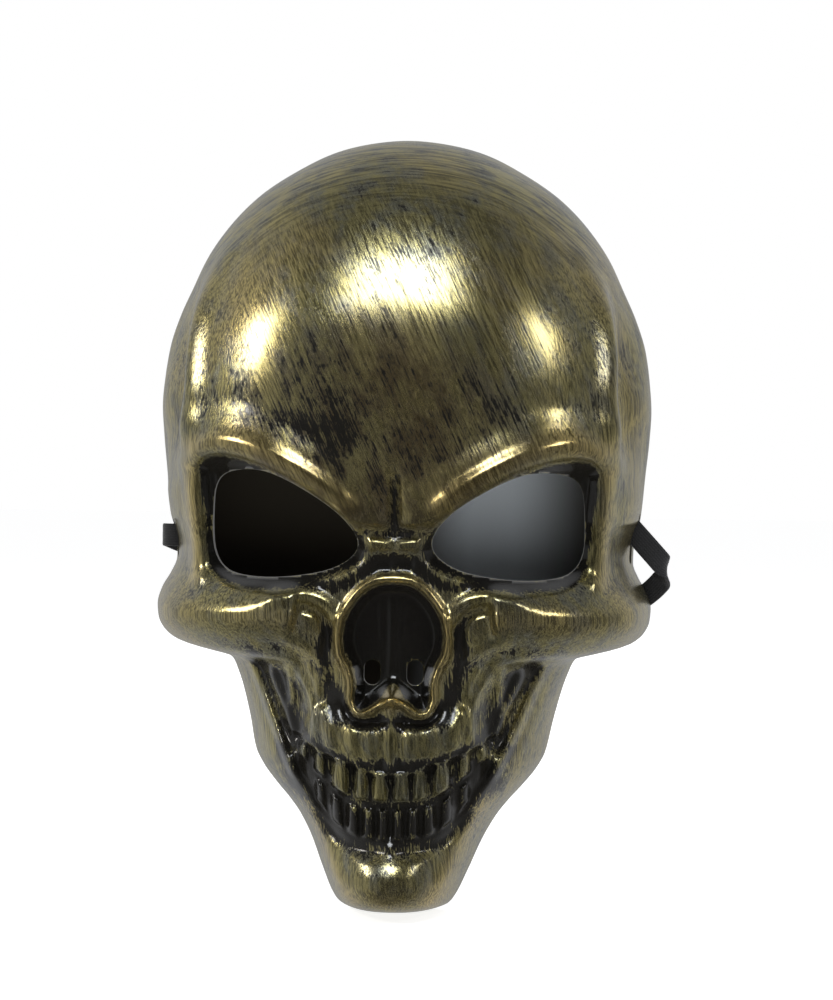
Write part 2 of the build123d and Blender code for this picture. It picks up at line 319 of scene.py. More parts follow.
    def nose(self, a: Field, z: Field) -> Field:
        """The raised rim of the nasal opening, its hollow, the spine below it and the bridge above.

        Args:
            a: distance from the middle, seen from the front, in millimetres.
            z: height, in millimetres.

        Returns:
            Height forward of the plain form.
        """
        deep = inside(a, z, self.nose_hollow())
        high = -9.5 * ease((deep - 0.6) / 4.4)
        high += 3.4 * ridge(a, z, self.nose_rim, 2.5, 0)
        high += 0.9 * ridge(a, z, [(1.2, -18), (0.9, -30), (1.2, -46)], 1.4)
        high += 0.5 * ridge(a, z, [(4.6, -20), (4, -34)], 1.2)
        high += 5.4 * swell(a, z, (0, -51.6), (2.5, 4.6))
        high += 1.2 * ridge(a, z, [(0, -54), (0, -66), (0, -77)], 2.4)
        high -= 1.0 * ridge(a, z, [(3.4, -58), (3.2, -66), (3.0, -75)], 2.2)
        high -= 2.6 * ridge(a, z, [(0, 2.4), (6, 3.2), (11.5, 3.2)], 3.2)
        high += 2.3 * ridge(a, z, [(0, -1.8), (5, -1.4), (9, -1.6)], 3.4)
        high -= 1.2 * ridge(a, z, [(0, -7.4), (7, -7.6)], 4.2)
        high += 2.8 * swell(a, z, (6.4, 9.6), (5.4, 6.6))
        return high - 2.6 * ridge(a, z, [(0, 3), (0, 12), (0, 24)], 3.0)

    def cheeks(self, a: Field, z: Field) -> Field:
        """The hollows under the cheekbones and the cords that run down through them.

        Args:
            a: distance from the middle, seen from the front, in millimetres.
            z: height, in millimetres.

        Returns:
            Height forward of the plain form.
        """
        hollow = rounded([
            (57, -39.5), (46, -40.5), (38, -42.6), (31.5, -47), (28, -55), (27.4, -64), (30.5, -70),
            (36, -72.5),
            (41, -66), (46, -56), (51, -47),
        ])  # fmt: skip
        high = -6.0 * ease((inside(a, z, hollow) + 1.5) / 6.0)
        high -= 2.0 * ridge(a, z, [(60, -42), (50, -50), (44, -62), (37, -76)], 5.0)
        high += 2.8 * ridge(a, z, [(53.5, -39), (48.5, -48.5), (43.2, -60), (36.6, -74.5), (32.4, -82)], 3.0)
        high += 2.2 * ridge(a, z, [(43.5, -41), (41.6, -49), (37, -58), (33.6, -68)], 3.0)
        high += 2.2 * ridge(a, z, [(36.4, -44), (35.4, -50), (34.6, -58)], 2.8)
        high += 1.8 * ridge(a, z, [(29.4, -41), (26, -46.5), (24.5, -53)], 2.2)
        high += 1.4 * ridge(a, z, [(31.5, -46), (27.5, -53), (26.6, -60)], 2.0)
        return high + 1.3 * ridge(a, z, [(24, -54), (22, -62), (20.5, -70)], 3.2)

    def mouth(self, a: Field, z: Field) -> Field:
        """The upper gum, both rows of teeth and the chin.

        Args:
            a: distance from the middle, seen from the front, in millimetres.
            z: height, in millimetres.

        Returns:
            Height forward of the plain form.
        """
        gum = smooth_curve([
            (0, -76.8), (6, -76.4), (12, -73.8), (18.5, -72.2), (25, -69.8), (31.5, -66.4), (36, -63.5),
        ])(a)  # fmt: skip
        bite = smooth_curve([(0, -87.6), (8, -87.4), (16, -85.4), (23.5, -80.2), (29, -76.2), (34, -72.5)])(a)
        floor = smooth_curve([(0, -103.0), (10, -102.4), (18, -99), (26, -91), (34, -80)])(a)
        side = ease((35.5 - a) / 4)
        high = 3.2 * ridge(a, z, [(0, -66.5), (12, -66), (22, -62.5), (28, -57)], 10.5)
        high -= 2.2 * ridge(a, z, [(2.5, -59.4), (8, -60.4), (13, -59.4), (16.5, -54)], 2.6)
        roots = np.cos(a / 6.6 * 2 * np.pi) * ease((z - gum) / 5) * ease((-56 - z) / 6)
        high += 0.32 * roots * side
        high -= 3.6 * ease((gum - z) / 1.6) * ease((z - floor) / 6) * side
        upper = [(0.35, 6.7, 4.6), (6.9, 12.7, 4.2), (13.6, 20.3, 4.6), (21.9, 26.7, 3.6), (28.4, 32.6, 3.0)]
        for left, right, tall in upper:
            high += tall * self.tooth(a, z, (left, right), gum + 0.4, bite + 0.5, 1.9)
        lower = [(0.3, 4.7), (5.1, 9.7), (10.3, 15.0), (16.0, 20.8), (22.0, 26.4)]
        for left, right in lower:
            high += 2.7 * self.tooth(a, z, (left, right), bite - 1.4, floor + 3.0, 1.7)
        high -= 2.8 * ridge(a, z, [(0, -103.5), (12, -102.5), (20, -98), (27, -89)], 4.6)
        high += 4.8 * swell(a, z, (0, -116), (25, 9.8)) + 0.7 * swell(a, z, (12, -119), (8, 6))
        high += 2.6 * ridge(a, z, [(31, -86), (26.5, -96), (21.5, -108), (17.5, -117)], 6.0)
        return high - 1.0 * ridge(a, z, [(0, -116), (0, -118.5), (0, -121)], 3.4, 0.5)

    @staticmethod
    def tooth(
        a: Field, z: Field, across: tuple[float, float], top: Field, bottom: Field, soft: float
    ) -> Field:
        """One tooth of height 1: a rounded block, a little crowned, between two levels.

        Args:
            a: distance from the middle, seen from the front.
            z: height.
            across: where the tooth starts and ends, from the middle.
            top: its upper edge.
            bottom: its lower edge.
            soft: how far its edges round over.

        Returns:
            Its height at each place.
        """
        middle = (across[0] + across[1]) / 2
        half = (across[1] - across[0]) / 2
        waist = half * (0.86 + 0.14 * ease((top - z) / np.maximum(top - bottom, 1) * 1.6))
        edge = np.minimum(waist - np.abs(a - middle), np.minimum(top - z, z - bottom))
        crown = 1 - 0.22 * ((a - middle) / half) ** 2
        return ease((edge + 0.15) / soft) * crown

    def relief(self, x: Field, z: Field) -> Field:
        """All the forward relief of the face."""
        a = np.abs(x)
        high = self.sockets(a, z) + self.cheekbones(a, z) + self.nose(a, z)
        high = high + self.cheeks(a, z) + self.mouth(a, z)
        return high + 0.8 * swell(a, z, (32, 78), (24, 22))

    def unbrushed_and_painted_shade(self, a: Field, z: Field) -> Field:
        """How much glossy black shows, as black base coat that the brush skipped and also as painted shade in
        the hollows.

        Args:
            a: distance from the middle, seen from the front, in millimetres.
            z: height, in millimetres.

        Returns:
            A level from 0 to 1.
        """
        # Black base coat that the brush skipped, and also painted shade: in the sockets, the nasal hollow,
        # under the eye openings, beside the nose, in the cheek hollows, under the nose, along the upper gum
        # and over the lower teeth.
        missed_and_painted_shade = ease((inside(a, z, rounded(self.socket_edge)) + 0.5) / 3.5)
        missed_and_painted_shade = np.maximum(missed_and_painted_shade, ease((inside(a, z, self.nose_hollow()) - 0.2) / 2.2))
        trough = [(0, -6.2), (8, -8.5), (17, -14), (26, -14.5), (50, -15)]
        missed_and_painted_shade = np.maximum(missed_and_painted_shade, 0.9 * ridge(a, z, trough, 4.6, 0))
        missed_and_painted_shade = np.maximum(missed_and_painted_shade, 0.75 * ridge(a, z, [(21, -31), (24, -38), (21, -48), (18, -58)], 6.5, 0))
        missed_and_painted_shade = np.maximum(missed_and_painted_shade, 0.62 * ridge(a, z, [(48, -42), (40, -50), (35, -62), (37, -72)], 8.0, 0))
        missed_and_painted_shade = np.maximum(missed_and_painted_shade, 0.8 * ridge(a, z, [(0, -60), (12, -60.5), (17, -55)], 4.6, 0))
        missed_and_painted_shade = np.maximum(missed_and_painted_shade, 0.75 * ridge(a, z, [(0, -75), (14, -73.5), (26, -69), (34, -63)], 4.0, 0))
        lower = ridge(a, z, [(0, -96), (14, -95), (22, -89), (30, -80)], 14.0, 0)
        missed_and_painted_shade = np.maximum(missed_and_painted_shade, 0.95 * lower)
        return missed_and_painted_shade * (1 - swell(a, z, (0, -51.5), (3.0, 4.6)))

    def golden(self, x: Field, a: Field, z: Field) -> Field:
        """Where the paint is thick and bright.

        Args:
            x: place across, seen from the front, in millimetres.
            a: distance from the middle.
            z: height.

        Returns:
            A level from 0 to about 1.
        """
        thick = 0.9 * swell(x, z, (-50, 74), (15, 22)) + 0.35 * swell(x, z, (8, 52), (16, 12))
        thick += 0.9 * ridge(a, z, [(15, 13), (28, 23), (44, 31), (58, 34), (70, 31)], 6.5, 0)
        thick += 0.8 * ridge(a, z, [(71.5, 24), (71, 4), (70, -14)], 5.0, 0)
        thick += 0.7 * swell(a, z, (74, -26), (10, 10)) + 0.45 * ridge(a, z, [(60, -26), (30, -26)], 8.0)
        thick += 0.9 * ridge(a, z, self.nose_rim, 3.2, 0) + 1.2 * swell(a, z, (0, -52.0), (3.2, 5))
        thick += 0.8 * ridge(a, z, [(31, -88), (26, -98), (20, -111), (14, -121)], 6.5, 0)
        return thick + 0.5 * swell(a, z, (0, -121), (22, 5))

    def nose_hollow(self) -> Field:
        """The outline of the nasal opening on one side, closed well past the middle."""
        return np.array([*map(tuple, flowing(self.nose_rim, 60)), (-30.0, -52.0), (-30.0, -12.4)])

    def sides(self, a: Field, z: Field) -> Field:
        """Relief of the temples.

        Args:
            a: distance from the middle, seen from the front, in millimetres.
            z: height, in millimetres.

        Returns:
            Height square to the plain form.
        """
        high = -5.4 * ridge(a, z, [(75, 84), (79, 66), (79.5, 50), (81, 36), (81.5, 22)], 8.0, 0.3)
        high += 2.6 * ridge(a, z, [(62, 98), (69, 82), (71.5, 64), (71.5, 48), (74, 36), (75, 26)], 6.0, 0.3)
        return high - 1.0 * ridge(a, z, [(80.5, 6), (79, -10)], 9.0)

    def build(self, skins: Sequence[bpy.types.Material]) -> bpy.types.Object:
        """Makes the whole moulding as one closed wall and cuts its openings.

        Args:
            skins: the material of each kind of surface, in the order of Skin.

        Returns:
            The finished piece.
        """
        x, y, z = self.base()
        plain = np.stack([x, y, z], axis=-1)
        out = normals(plain)
        forward = ease(-out[..., 1] * 2.6)
        high = self.relief(x, z)
        side = self.sides(np.abs(x), z) * ease((self.rim_y - 1 - y) / 12)
        outer = plain + out * side[..., None]
        outer[..., 1] -= high * forward
        outer = fair(outer, 2)
        outer[:, 0, 1] = outer[:, -1, 1] = y[:, 0]

        low = blur(np.minimum(shrink(high * forward, 3), high * forward), 4)
        low = np.minimum(low, high * forward - 0.25)
        inner = plain + out * (blur(side, 3) - self.wall)[..., None]
        inner[..., 1] -= low
        inner[:, 0, 1] = inner[:, -1, 1] = y[:, 0]

        form = high * forward + side
        marks = {
            # raised: height above the nearby form; recesses get less brass and more black, partly dry-brushed
            # paint and partly painted shade.
            "raised": 1.6 * (form - blur(form, 10)) + 0.5 * (form - blur(form, 120)),
            # bare: black base coat that the brush skipped, also painted shade in the hollows.
            "bare_and_painted_shade": blur(self.unbrushed_and_painted_shade(np.abs(x), z), 2),
            "golden": blur(self.golden(x, np.abs(x), z), 2),
        }
        mesh = wall_mesh("face_shell", outer, inner[::2, ::2], marks, skins)
        shell = bpy.data.objects.new("skull_face_shell", mesh)
        bpy.context.collection.objects.link(shell)
        self.cut_openings(shell, skins)
        return shell

    def cut_openings(self, shell: bpy.types.Object, skins: Sequence[bpy.types.Material]) -> None:
        """Cuts the eye openings, the nostril holes and the strap slots, and removes the cutters.

        Args:
            shell: the moulding.
            skins: the material of each kind of surface, in the order of Skin.
        """
        cutters = []
        eye = rounded(self.eye_hole, 72)
        for sign in (-1, 1):
            cutters.append(prism(eye * (sign, 1), "Y", (-110, -20)))
            breath = capsule(self.nostril_size, (sign * self.nostril[0], self.nostril[1]))
            cutters.append(prism(breath, "Y", (-100, -50)))
            cutters.append(prism(capsule(self.slot_size, (0, 0)), "X", (sign * 60, sign * 100)))
        for cutter in cutters:
            for skin in skins:
                cutter.data.materials.append(skin)
            faces = cutter.data.polygons
            faces.foreach_set("material_index", [Skin.CUT_EDGE.value] * len(faces))
            cut = shell.modifiers.new("opening", "BOOLEAN")
            cut.operation, cut.solver, cut.object = "DIFFERENCE", "EXACT", cutter
            select_only(shell)
            bpy.ops.object.modifier_apply(modifier=cut.name)
            bpy.data.objects.remove(cutter, do_unlink=True)


def normals(grid: Field) -> Field:
    """Outward unit normals of a grid of points."""
    up, across = np.gradient(grid, axis=0), np.gradient(grid, axis=1)
    n = np.cross(across, up)
    n /= np.maximum(np.linalg.norm(n, axis=-1, keepdims=True), 1e-9)
    return n * np.where(n[:, n.shape[1] // 2, 1].mean() > 0, -1, 1)


def blur(values: Field, times: int) -> Field:
    """Evens out values on the grid with their neighbours."""
    for _ in range(times):
        p = np.pad(values, 1, mode="edge")
        values = (p[:-2, 1:-1] + p[2:, 1:-1] + p[1:-1, :-2] + p[1:-1, 2:] + 2 * values) / 6
    return values


def shrink(values: Field, times: int) -> Field:
    """Takes each value down to the lowest beside it."""
    for _ in range(times):
        p = np.pad(values, 1, mode="edge")
        values = np.minimum.reduce([p[:-2, 1:-1], p[2:, 1:-1], p[1:-1, :-2], p[1:-1, 2:], values])
    return values


def fair(grid: Field, times: int) -> Field:
    """Softens a grid of points a little, keeping its edges."""
    for _ in range(times):
        middle = (grid[:-2, 1:-1] + grid[2:, 1:-1] + grid[1:-1, :-2] + grid[1:-1, 2:]) / 4
        grid[1:-1, 1:-1] += 0.3 * (middle - grid[1:-1, 1:-1])
    return grid


def face_outwards(mesh: bpy.types.Mesh, merge: float = 0.0) -> None:
    """Turns every face of a closed mesh outwards.

    Args:
        mesh: the mesh to change.
        merge: points closer than this, in metres, become one first.
    """
    work = bmesh.new()
    work.from_mesh(mesh)
    if merge:
        bmesh.ops.remove_doubles(work, verts=work.verts, dist=merge)
    bmesh.ops.recalc_face_normals(work, faces=work.faces)
    work.to_mesh(mesh)
    work.free()


def wall_mesh(
    name: str, outer: Field, inner: Field, marks: dict[str, Field], materials: Sequence[bpy.types.Material]
) -> bpy.types.Mesh:
    """A closed wall from an outer grid and an inner grid of half its rows and columns.

    Args:
        name: the mesh's name.
        outer: points of the outer face, in millimetres.
        inner: points of the inner face, at every second row and column.
        marks: named values at each outer point, for the paint.
        materials: the material of each kind of surface, in the order of Skin.

    Returns:
        The mesh, in metres, with its faces pointing outwards.
    """
    rows, columns = outer.shape[:2]
    low_rows, low_columns = inner.shape[:2]
    verts = np.vstack([outer.reshape(-1, 3), inner.reshape(-1, 3)]) * MM
    first = rows * columns
    faces: list[tuple[int, ...]] = []
    skins: list[int] = []
    i, j = np.meshgrid(np.arange(rows - 1), np.arange(columns - 1), indexing="ij")
    a = (i * columns + j).ravel()
    faces += list(zip(a, a + 1, a + columns + 1, a + columns))
    skins += [Skin.PAINTED.value] * len(a)
    i, j = np.meshgrid(np.arange(low_rows - 1), np.arange(low_columns - 1), indexing="ij")
    b = (first + i * low_columns + j).ravel()
    faces += list(zip(b, b + low_columns, b + low_columns + 1, b + 1))
    skins += [Skin.INSIDE.value] * len(b)
    edge = [(0, c) for c in range(columns - 1)] + [(r, columns - 1) for r in range(rows - 1)]
    edge += [(rows - 1, c) for c in range(columns - 1, 0, -1)] + [(r, 0) for r in range(rows - 1, 0, -1)]
    for k in range(0, len(edge), 2):
        p, q, s = edge[k], edge[k + 1], edge[(k + 2) % len(edge)]
        o0, o1, o2 = (r * columns + c for r, c in (p, q, s))
        i0, i1 = (first + r // 2 * low_columns + c // 2 for r, c in (p, s))
        faces.append((o2, o1, o0, i0, i1))
        skins.append(Skin.PAINTED.value)
    mesh = bpy.data.meshes.new(name)
    mesh.from_pydata(verts.tolist(), [], [tuple(int(v) for v in f) for f in faces])
    for material in materials:
        mesh.materials.append(material)
    mesh.polygons.foreach_set("material_index", skins)
    for word, values in marks.items():
        mark = mesh.attributes.new(word, "FLOAT", "POINT")
        full = np.concatenate([values.ravel(), np.zeros(len(verts) - first)])
        mark.data.foreach_set("value", full.astype(np.float32))
    face_outwards(mesh, merge=0.09 * MM)
    mesh.polygons.foreach_set("use_smooth", [True] * len(mesh.polygons))
    return mesh


def capsule(size: tuple[float, float], at: tuple[float, float]) -> Field:
    """An upright slot with round ends, as an outline."""
    r, h = size[0] / 2, size[1] / 2 - size[0] / 2
    turn = np.linspace(0, np.pi, 13)
    top = np.stack([r * np.cos(turn), h + r * np.sin(turn)], axis=1)
    return np.vstack([top, -top]) + np.array(at)


def prism(outline: Field, along: str, span: tuple[float, float]) -> bpy.types.Object:
    """A straight cutter with an outline's shape, running along Y or X between two places.

    Args:
        outline: x and z of the shape, or y and z for a cutter along X, in millimetres.
        along: the axis it runs along.
        span: where it starts and ends.

    Returns:
        The cutter.
    """
    n = len(outline)
    ends = []
    for place in span:
        if along == "Y":
            ends.append([(u * MM, place * MM, v * MM) for u, v in outline])
        else:
            ends.append([(place * MM, u * MM, v * MM) for u, v in outline])
    faces = [tuple(range(n)), tuple(range(2 * n - 1, n - 1, -1))]
    faces += [(k, n + k, n + (k + 1) % n, (k + 1) % n) for k in range(n)]
    mesh = bpy.data.meshes.new("cutter")
    mesh.from_pydata(ends[0] + ends[1], [], faces)
    face_outwards(mesh)
    cutter = bpy.data.objects.new("cutter", mesh)
    bpy.context.collection.objects.link(cutter)
    return cutter


def select_only(piece: bpy.types.Object) -> None:
    """Leaves one object selected and active."""
    bpy.ops.object.select_all(action="DESELECT")
    piece.select_set(True)
    bpy.context.view_layer.objects.active = piece


# ---------------------------------------------------------------- finishes


class Nodes:
    """A small helper that adds shader nodes and links them."""

    def __init__(self, name: str) -> None:
        """Starts an empty material with that name."""
        self.material = bpy.data.materials.new(name)
        self.material.use_nodes = True
        self.tree = self.material.node_tree
        self.tree.nodes.clear()

    def add(self, kind: str, inputs: dict | None = None, **settings: object) -> bpy.types.Node:
        """Adds a node, sets its own settings, and sets or links its inputs."""
        node = self.tree.nodes.new("ShaderNode" + kind)
        for key, value in settings.items():
            setattr(node, key, value)
        for key, value in (inputs or {}).items():
            if isinstance(value, Socket):
                self.tree.links.new(value, node.inputs[key])
            else:
                node.inputs[key].default_value = value
        return node

    def math(self, operation: str, a: object, b: object = 0.0, clamp: bool = False) -> Socket:
        """One sum of two numbers or sockets.

        Args:
            operation: the node's name for the sum.
            a: the first number or socket.
            b: the second number or socket.
            clamp: whether the result is kept between 0 and 1.

        Returns:
            The result.
        """
        node = self.add("Math", {0: a, 1: b}, operation=operation, use_clamp=clamp)
        return node.outputs[0]

    def plus(self, a: object, b: object, clamp: bool = False) -> Socket:
        """The sum of two numbers or sockets."""
        return self.math("ADD", a, b, clamp)

    def minus(self, a: object, b: object, clamp: bool = False) -> Socket:
        """The first number or socket less the second."""
        return self.math("SUBTRACT", a, b, clamp)

    def times(self, a: object, b: object) -> Socket:
        """The product of two numbers or sockets."""
        return self.math("MULTIPLY", a, b)

    def mix(self, factor: object, a: object, b: object) -> Socket:
        """A blend of two colours."""
        node = self.add("Mix", data_type="RGBA")
        for socket, value in ((node.inputs[0], factor), (node.inputs[6], a), (node.inputs[7], b)):
            if isinstance(value, Socket):
                self.tree.links.new(value, socket)
            else:
                socket.default_value = value
        return node.outputs[2]

    def ramp(self, value: object, low: float, high: float, start: float = 0.0, end: float = 1.0) -> Socket:
        """A smooth step of a number between two levels.

        Args:
            value: the number or socket.
            low: the level where the step begins.
            high: the level where it ends.
            start: the result at low.
            end: the result at high.

        Returns:
            The result.
        """
        levels = {0: value, 1: low, 2: high, 3: start, 4: end}
        return self.add("MapRange", levels, interpolation_type="SMOOTHSTEP").outputs[0]

    def noise(
        self, scale: tuple[float, float, float], turn: float = 0.0, detail: float = 4.0,
        rough: float = 0.55, slip: float = 0.0,
    ) -> Socket:
        """Noise on the piece's own place, stretched and turned about Y.

        Args:
            scale: cells per metre along each axis after the turn.
            turn: degrees about the Y axis.
            detail: octaves of the noise.
            rough: how strong the fine octaves are.
            slip: moves the pattern so that two layers differ.

        Returns:
            A level from 0 to 1, about 0.5.
        """
        place = self.add("TexCoord").outputs["Object"]
        turned = self.add("Mapping", {"Vector": place, "Rotation": (0.0, math.radians(turn), 0.0)}).outputs[0]
        shift = (slip, slip, slip)
        scaled = self.add("Mapping", {"Vector": turned, "Scale": scale, "Location": shift}).outputs[0]
        node = self.add("TexNoise", {"Vector": scaled, "Scale": 1.0, "Detail": detail, "Roughness": rough})
        return node.outputs["Fac"]

    def finish(self, surface: Socket) -> bpy.types.Material:
        """Joins the surface to the output."""
        self.add("OutputMaterial", {"Surface": surface})
        return self.material


@dataclass(frozen=True)
class AntiqueBrass:
    """Brass paint dry-brushed over glossy black."""

    brass: Colour = (0.54, 0.48, 0.22, 1.0)
    gold: Colour = (0.88, 0.69, 0.29, 1.0)
    pewter: Colour = (0.34, 0.335, 0.25, 1.0)
    umber: Colour = (0.17, 0.125, 0.06, 1.0)
    black: Colour = (0.012, 0.011, 0.009, 1.0)

    def brush(self, n: Nodes) -> Socket:
        """Fine hair lines: slanting over the forehead, round the crown, and upright at the sides and below.

        Returns:
            A level about 0.5 that varies across the lines.
        """
        place = n.add("SeparateXYZ", {0: n.add("TexCoord").outputs["Object"]})
        x, z = place.outputs[0], place.outputs[2]
        rise = n.minus(z, 0.035)
        out = n.math("SQRT", n.plus(n.times(x, x), n.times(rise, rise)))
        angle = n.math("ARCTAN2", x, rise)
        back = n.times(place.outputs[1], 190.0)
        sweep = n.add("CombineXYZ", {0: n.times(out, 1500.0), 1: n.times(angle, 4.5), 2: back})
        round_crown = n.add(
            "TexNoise",
            {"Vector": sweep.outputs[0], "Scale": 1.0, "Detail": 3.0, "Roughness": 0.65},
        ).outputs["Fac"]
        slant = n.noise((1900, 220, 48), turn=25, detail=3, rough=0.7)
        upright = n.noise((1600, 1400, 42), turn=4, detail=3, rough=0.65, slip=7.0)
        crown = n.ramp(out, 0.068, 0.098)
        centre = n.times(n.ramp(n.math("ABSOLUTE", x), 0.060, 0.040), n.ramp(z, 0.0, 0.02))
        low = n.times(n.ramp(z, 0.055, 0.105), crown)
        blend = n.plus(n.times(slant, centre), n.times(upright, n.minus(1.0, centre)))
        return n.plus(n.times(round_crown, low), n.times(blend, n.minus(1.0, low)))

    def make(self) -> bpy.types.Material:
        """The painted outside of the shell."""
        n = Nodes("antique_brass_paint")
        marks = ("raised", "bare_and_painted_shade", "golden")
        raised, bare_and_painted_shade, golden = (n.add("Attribute", attribute_name=k).outputs["Fac"] for k in marks)
        streak = self.brush(n)
        patch = n.noise((26, 26, 20), turn=20, detail=3, rough=0.5, slip=3.0)
        blotch = n.noise((120, 120, 55), turn=25, detail=6, rough=0.68, slip=5.0)
        fleck = n.noise((900, 900, 330), turn=22, detail=5, rough=0.75, slip=9.0)
        place = n.add("SeparateXYZ", {0: n.add("TexCoord").outputs["Object"]})
        x, z = place.outputs[0], place.outputs[2]
        off_x = n.times(n.plus(x, 0.006), 1 / 0.044)
        off_z = n.times(n.minus(z, 0.038), 1 / 0.036)
        worn = n.plus(n.times(off_x, off_x), n.times(off_z, off_z))
        worn = n.ramp(worn, 1.7, 0.1)
        # More brass on raised places and more black in recesses: dry-brushed paint, and also painted shade in
        # the recesses.
        level = n.plus(0.62, n.times(raised, 0.16))
        for layer, weight in ((streak, 1.9), (blotch, 1.7), (patch, 0.8), (fleck, 1.7)):
            level = n.plus(level, n.times(n.minus(layer, 0.5), weight))
        # Black where the bare mark is: base coat that the brush skipped, and painted shade in the hollows.
        level = n.minus(level, n.times(bare_and_painted_shade, 1.15))
        level = n.minus(level, n.times(worn, 0.36))
        level = n.plus(level, n.times(golden, 0.35))
        cover = n.ramp(level, 0.04, 0.60)
        warm = n.plus(n.times(golden, 0.8), n.times(n.minus(patch, 0.47), 1.6), clamp=True)
        tone = n.mix(warm, n.mix(n.ramp(blotch, 0.35, 0.6), self.pewter, self.brass), self.gold)
        shade = n.plus(0.36, n.times(n.ramp(streak, 0.36, 0.62), 0.75))
        tone = n.mix(n.minus(1.0, shade, clamp=True), tone, self.black)
        tone = n.mix(n.times(worn, n.ramp(blotch, 0.62, 0.40, 0.25, 0.95)), tone, self.umber)
        colour = n.mix(cover, self.black, tone)
        rough = n.plus(0.13, n.times(cover, n.ramp(streak, 0.35, 0.65, 0.03, 0.14)))
        relief = n.plus(n.times(streak, 0.9), n.times(cover, 0.30))
        relief = n.plus(relief, n.times(fleck, 0.25))
        bump = n.add("Bump", {"Strength": 0.35, "Distance": 0.00016, "Height": relief})
        shader = n.add(
            "BsdfPrincipled",
            {
                "Base Color": colour, "Metallic": n.times(cover, 0.92), "Roughness": rough,
                "Normal": bump.outputs[0], "Coat Weight": 0.25, "Coat Roughness": 0.12,
                "Specular IOR Level": 0.5,
            },
        )  # fmt: skip
        return n.finish(shader.outputs[0])


@dataclass(frozen=True)
class PlainPlastic:
    """Unpainted moulded plastic."""

    name: str
    colour: Colour
    rough: float

    def make(self) -> bpy.types.Material:
        """Plastic with a faint moulded grain."""
        n = Nodes(self.name)
        grain = n.noise((900, 900, 900), detail=4)
        cloud = n.noise((30, 30, 30), detail=3, slip=2.0)
        dull = tuple(c * 0.6 for c in self.colour[:3]) + (1.0,)
        shade = n.mix(n.ramp(cloud, 0.3, 0.7), self.colour, dull)
        rough = n.plus(self.rough, n.times(grain, 0.15))
        bump = n.add("Bump", {"Strength": 0.2, "Distance": 0.0001, "Height": grain})
        shader = n.add("BsdfPrincipled", {"Base Color": shade, "Roughness": rough, "Normal": bump.outputs[0]})
        return n.finish(shader.outputs[0])


@dataclass(frozen=True)
class WovenElastic:
    """Flat braided elastic, with cords along it and fine weft across it."""

    colour: Colour = (0.018, 0.018, 0.020, 1.0)
    light: Colour = (0.034, 0.034, 0.037, 1.0)
    cords: float = 9.0
    weft_per_metre: float = 900.0

    def make(self) -> bpy.types.Material:
        """A weave that follows the band's own UV map: U across it from 0 to 1, V along it in metres."""
        n = Nodes("black_elastic")
        uv = n.add("UVMap", uv_map="weave").outputs[0]
        parts = n.add("SeparateXYZ", {0: uv})
        across = n.math("SINE", n.times(parts.outputs[0], 2 * math.pi * self.cords))
        along = n.math("SINE", n.times(parts.outputs[1], 2 * math.pi * self.weft_per_metre))
        weave = n.plus(n.times(across, 0.5), n.times(n.times(along, across), 0.5))
        fuzz = n.noise((2500, 2500, 2500), detail=3)
        height = n.plus(weave, n.times(fuzz, 0.6))
        shade = n.mix(n.ramp(height, -0.4, 1.3), self.colour, self.light)
        bump = n.add("Bump", {"Strength": 0.4, "Distance": 0.00018, "Height": height})
        shader = n.add(
            "BsdfPrincipled",
            {
                "Base Color": shade, "Roughness": 0.86, "Sheen Weight": 0.25, "Sheen Roughness": 0.5,
                "Normal": bump.outputs[0],
            },
        )  # fmt: skip
        return n.finish(shader.outputs[0])


# ---------------------------------------------------------------- the elastic


